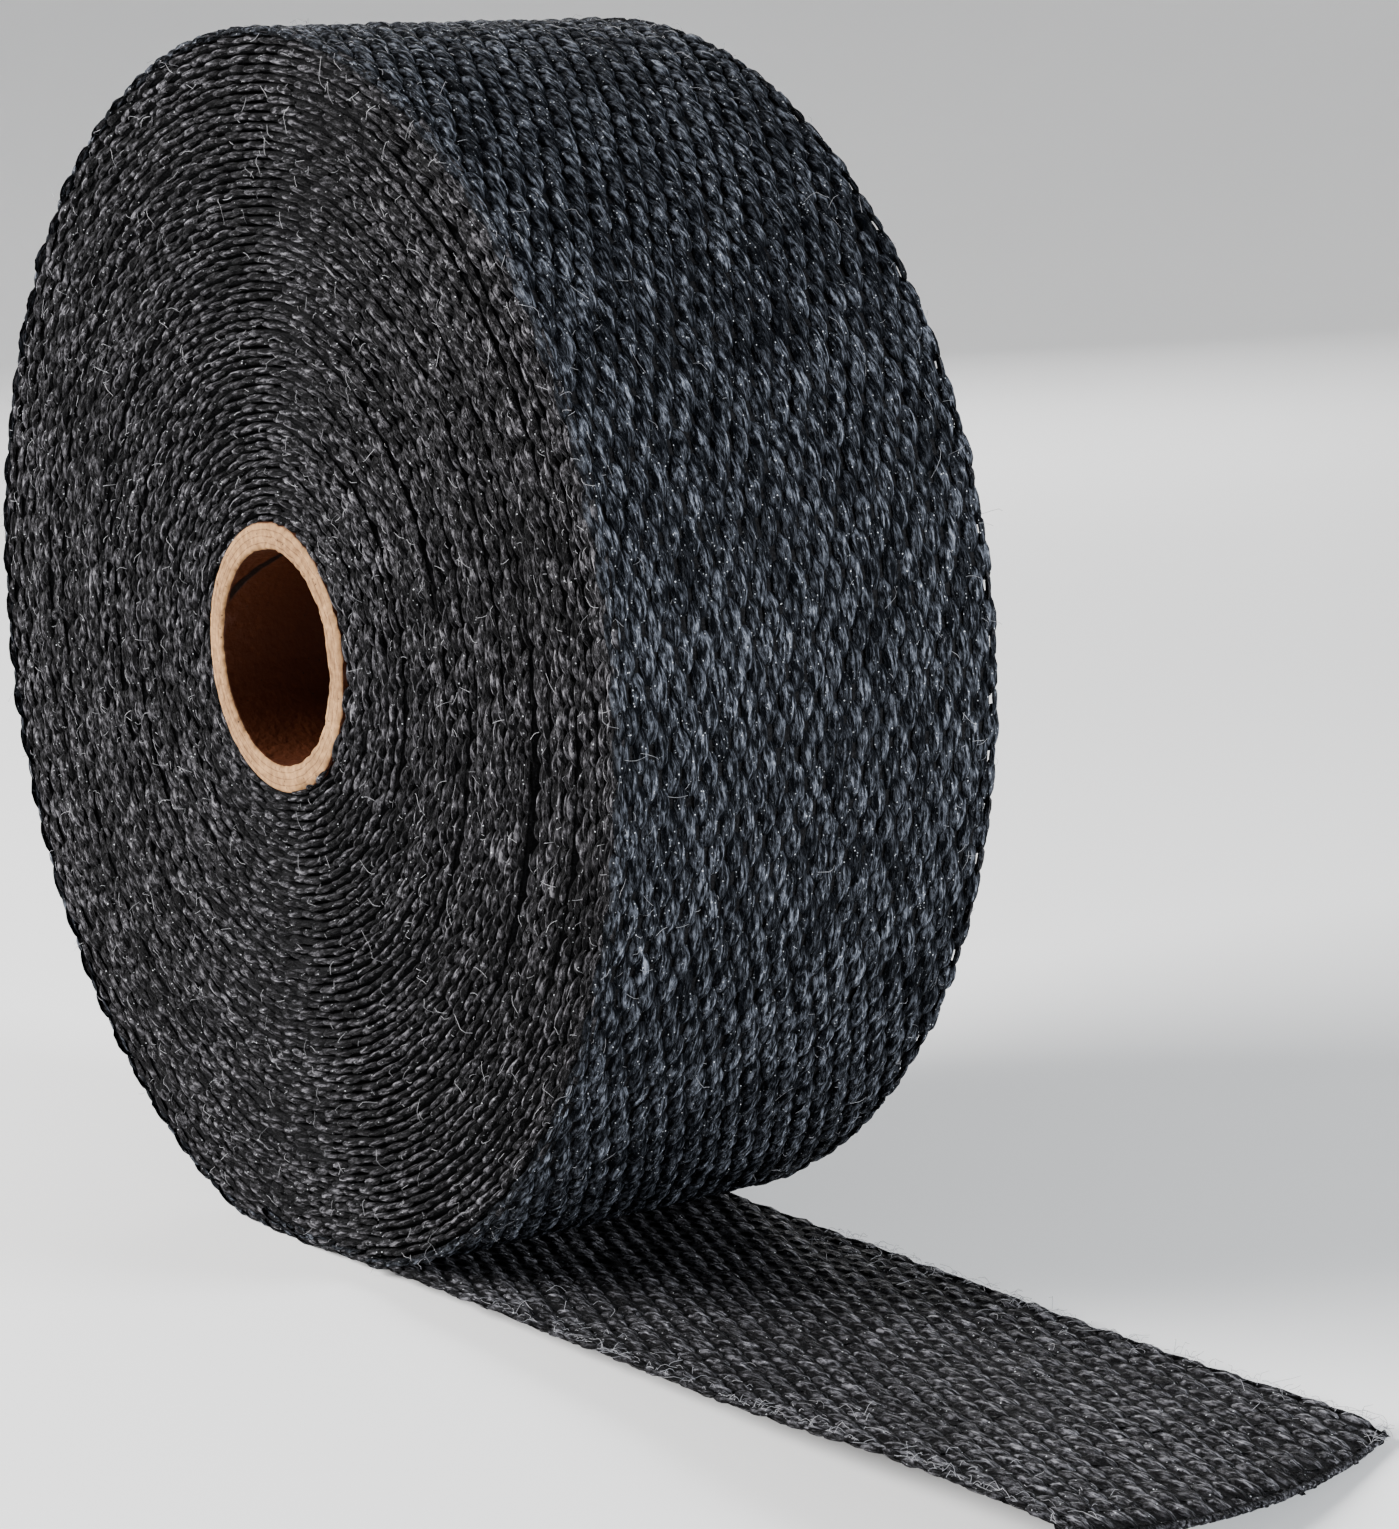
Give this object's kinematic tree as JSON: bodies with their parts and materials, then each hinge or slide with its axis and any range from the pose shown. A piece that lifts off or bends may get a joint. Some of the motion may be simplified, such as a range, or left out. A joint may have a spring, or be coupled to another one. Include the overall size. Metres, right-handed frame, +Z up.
{
  "type": "roll of woven exhaust heat wrap",
  "caption": "Flat woven heat-resistant tape wound on a plain cardboard core tube, lying on its side with a short loose end laid out flat, for wrapping hot exhaust pipes.",
  "frame": {"origin": "on the floor, in the middle of the flattened patch that the roll rests on, below the roll's axis at half the tape's width", "axes": "+X along the loose end, away from the roll; +Y along the roll's axis, from the end face shown in the picture to the other one; +Z up"},
  "size_m": [0.2211, 0.0508, 0.1465],
  "materials": {
    "woven_fibre": "matte charcoal weave with fine glassy sparkle",
    "kraft_cardboard": "matte brown paper"
  },
  "bodies": {
    "root": {"heat_wrap_tape": "woven_fibre", "core_tube": "kraft_cardboard"}
  },
  "joints": []
}
